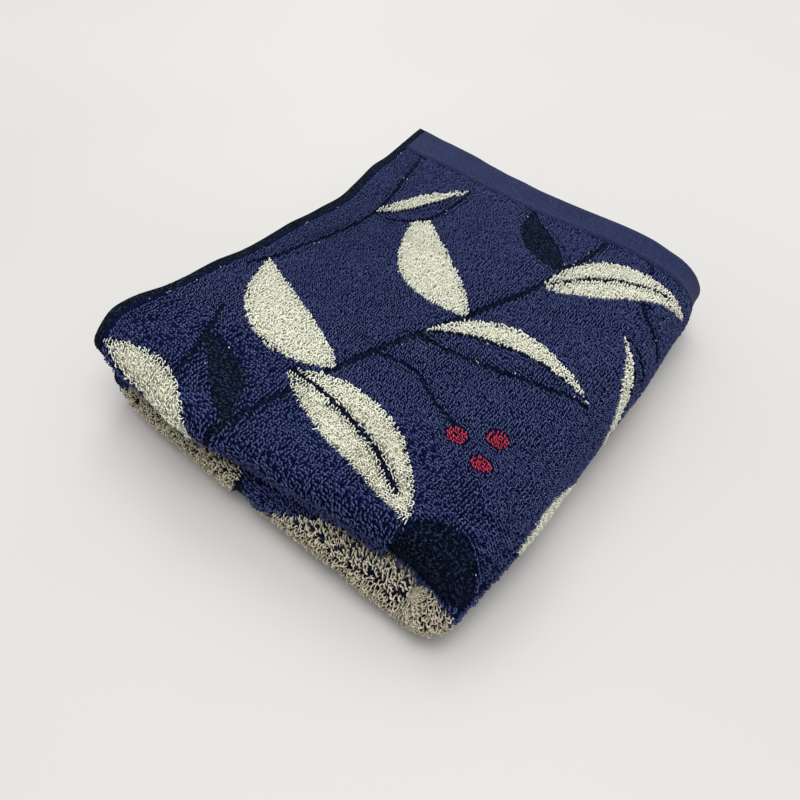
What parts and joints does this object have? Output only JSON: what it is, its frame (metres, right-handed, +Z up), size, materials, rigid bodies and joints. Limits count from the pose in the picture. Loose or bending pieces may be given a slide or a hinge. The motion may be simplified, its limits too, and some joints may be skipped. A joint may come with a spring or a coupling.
{
  "type": "folded towel",
  "caption": "Face towel of thick loop terry with woven hems and selvages, folded into a flat soft-edged stack.",
  "frame": {"origin": "middle of the base of the folded towel's bounding box, on the surface that it lies on", "axes": "+X towards the big side fold, away from the selvages; +Y towards the hem, away from the two rolls; +Z up"},
  "size_m": [0.1778, 0.1996, 0.0356],
  "materials": {
    "terry": "dyed cotton loop terry, dull, navy with cream"
  },
  "bodies": {
    "root": {"towel": "terry"}
  },
  "joints": []
}
